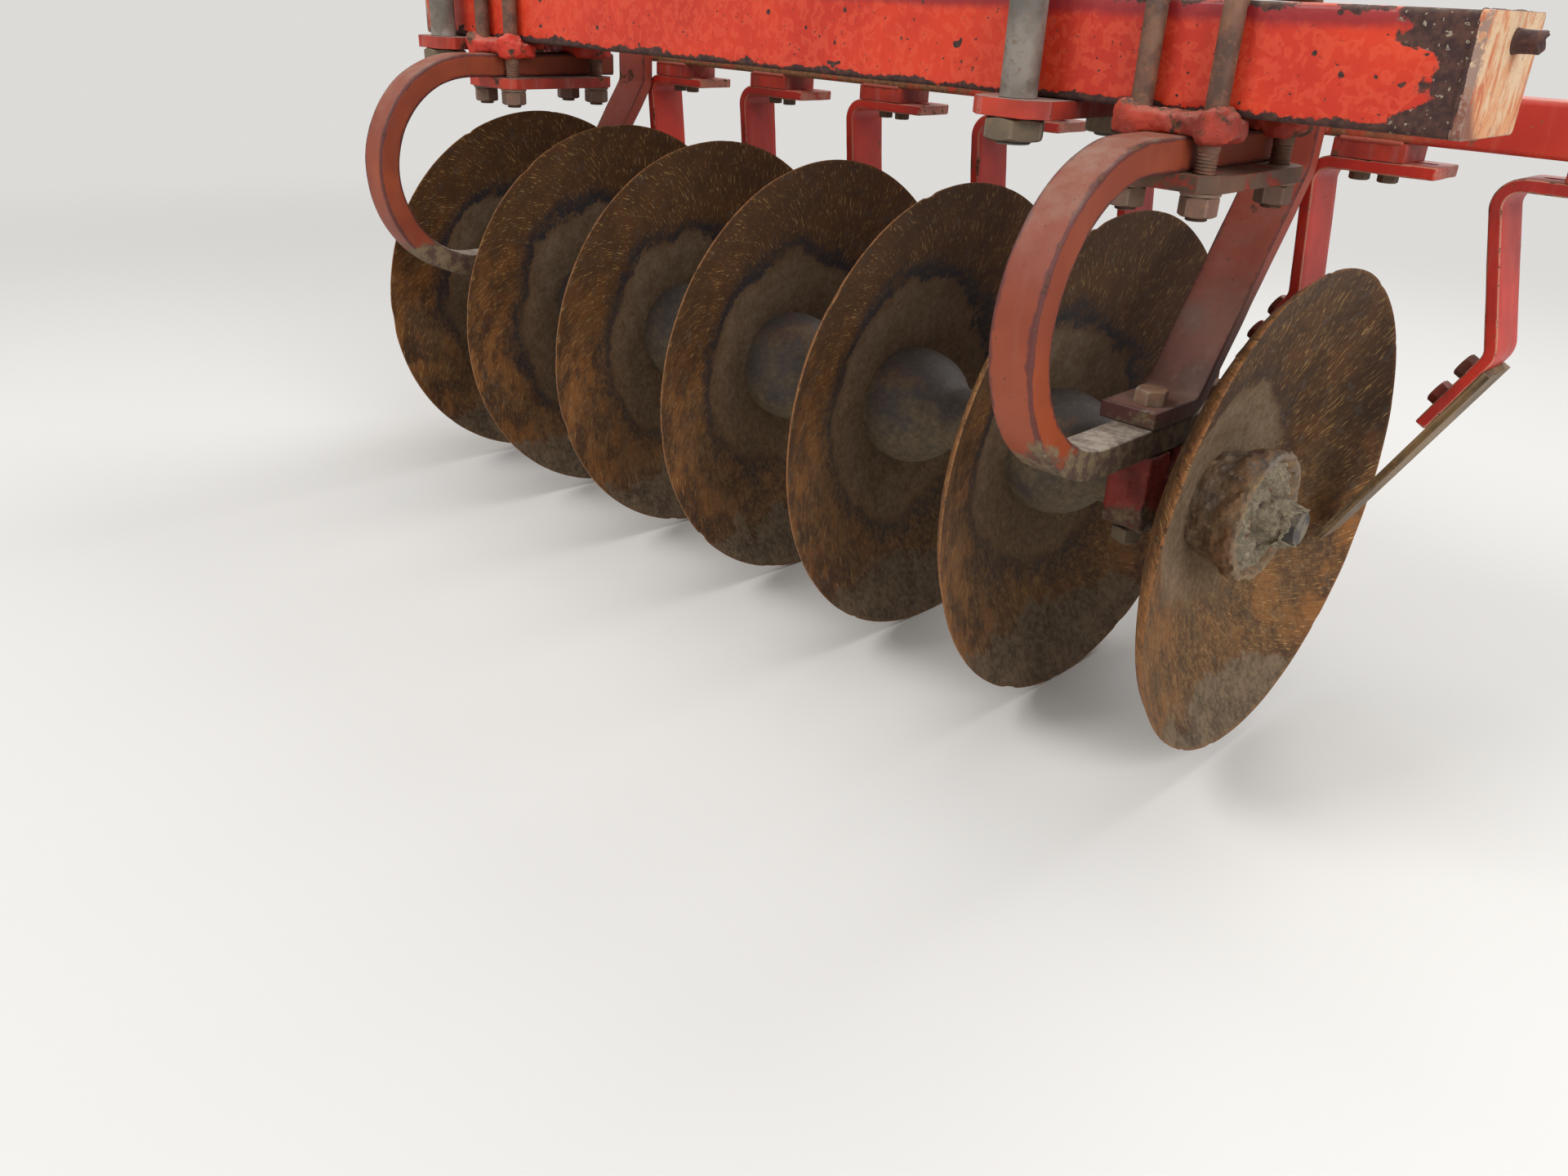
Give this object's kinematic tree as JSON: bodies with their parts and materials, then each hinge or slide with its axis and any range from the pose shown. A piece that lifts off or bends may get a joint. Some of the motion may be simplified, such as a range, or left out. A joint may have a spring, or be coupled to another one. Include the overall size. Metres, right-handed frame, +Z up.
{
  "type": "disc harrow gang",
  "caption": "Row of dished discs on a square axle that turns in two bearings, hung by C springs under a box beam, with a bar of scrapers behind.",
  "frame": {"origin": "centre of the four frame studs, in the plane of the beam's top face", "axes": "+X along the axle to the outer end, the way the dishes face; +Y to the rear, where the scrapers are; +Z up"},
  "size_m": [1.8235, 0.669, 0.969],
  "materials": {
    "beam_paint": "chipped gloss paint with rust",
    "spring_paint": "faded paint",
    "cast_paint": "rough cast, painted",
    "plate_paint": "worn paint",
    "arm_paint": "dull paint with dust",
    "shank_paint": "semi gloss paint",
    "rod_steel": "rusty steel",
    "blade_steel": "worn bare steel",
    "disc_steel": "rusty plate with dried mud",
    "spool_iron": "cast iron with dried mud",
    "axle_steel": "dull steel",
    "bumper_paint": "worn paint"
  },
  "bodies": {
    "carrier": {"gang_beam": "beam_paint", "beam_caps": "beam_paint", "spring_outer": "spring_paint", "spring_inner": "spring_paint", "saddles_outer": "cast_paint", "saddles_inner": "cast_paint", "bearing_housing_outer": "cast_paint", "bearing_housing_inner": "cast_paint", "hanger_plate_outer": "plate_paint", "hanger_plate_inner": "plate_paint", "clamp_plate_outer": "plate_paint", "clamp_plate_inner": "plate_paint", "scraper_blocks": "plate_paint", "scraper_arm_outer": "arm_paint", "scraper_arm_inner": "arm_paint", "scraper_bar": "arm_paint", "scraper_shank_1": "shank_paint", "scraper_shank_2": "shank_paint", "scraper_shank_3": "shank_paint", "scraper_shank_4": "shank_paint", "scraper_shank_5": "shank_paint", "scraper_shank_6": "shank_paint", "scraper_shank_7": "shank_paint", "hanger_rods_outer": "rod_steel", "hanger_rods_inner": "rod_steel", "frame_studs_outer": "rod_steel", "frame_studs_inner": "rod_steel", "scraper_bolts": "rod_steel", "housing_bolts_outer": "rod_steel", "housing_bolts_inner": "rod_steel", "scraper_blades": "blade_steel"},
    "gang": {"axle": "axle_steel", "axle_nut": "axle_steel", "end_washer": "spool_iron", "bumper_washer": "bumper_paint", "disc_1": "disc_steel", "disc_2": "disc_steel", "disc_3": "disc_steel", "disc_4": "disc_steel", "disc_5": "disc_steel", "disc_6": "disc_steel", "disc_7": "disc_steel", "spool_2": "spool_iron", "spool_3": "spool_iron", "spool_4": "spool_iron", "spool_5": "spool_iron", "bearing_spools_outer": "spool_iron", "bearing_spools_inner": "spool_iron", "bearing_outer": "axle_steel", "bearing_inner": "axle_steel"}
  },
  "joints": [
    {"name": "gang_spin", "type": "hinge", "parent": "carrier", "child": "gang", "pos_m": [0.755, 0.047, -0.524], "axis": [1, 0, 0], "continuous": true}
  ]
}
